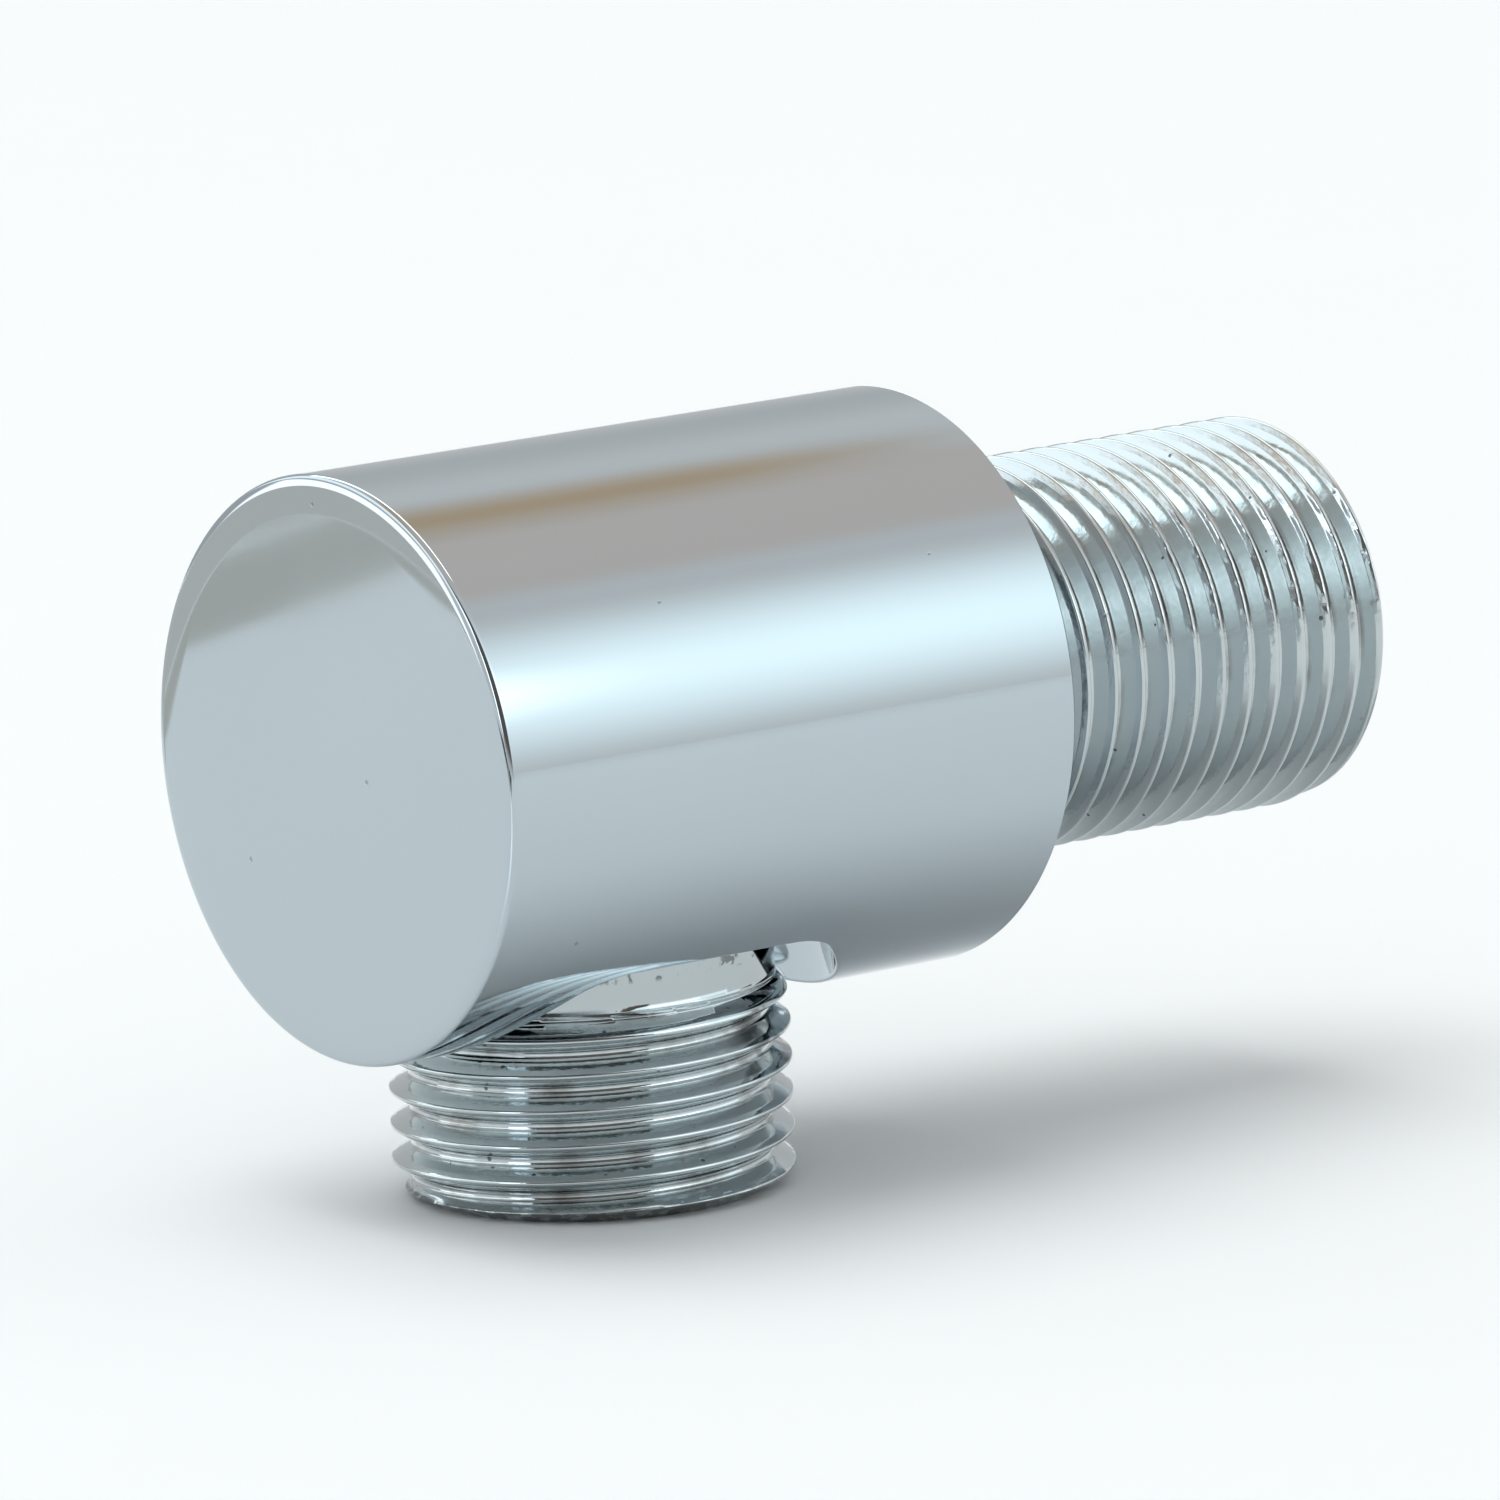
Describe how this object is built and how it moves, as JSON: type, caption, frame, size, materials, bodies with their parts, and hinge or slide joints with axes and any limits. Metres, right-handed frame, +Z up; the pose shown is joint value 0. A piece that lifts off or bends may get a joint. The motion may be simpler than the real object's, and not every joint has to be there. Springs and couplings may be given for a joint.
{
  "type": "wall outlet elbow",
  "caption": "Round polished wall outlet elbow: a threaded stub screws into the wall, and a threaded outlet in a milled pocket points down for a shower hose.",
  "frame": {"origin": "on the bar's axis, in the plane of its rear face, which seats on the wall", "axes": "+Y along the bar into the wall, +Z up, outlet pointing to -Z"},
  "size_m": [0.03, 0.0609, 0.0386],
  "materials": {
    "chrome_plate": "polished chrome plate on brass"
  },
  "bodies": {
    "root": {"outlet_elbow": "chrome_plate"}
  },
  "joints": []
}
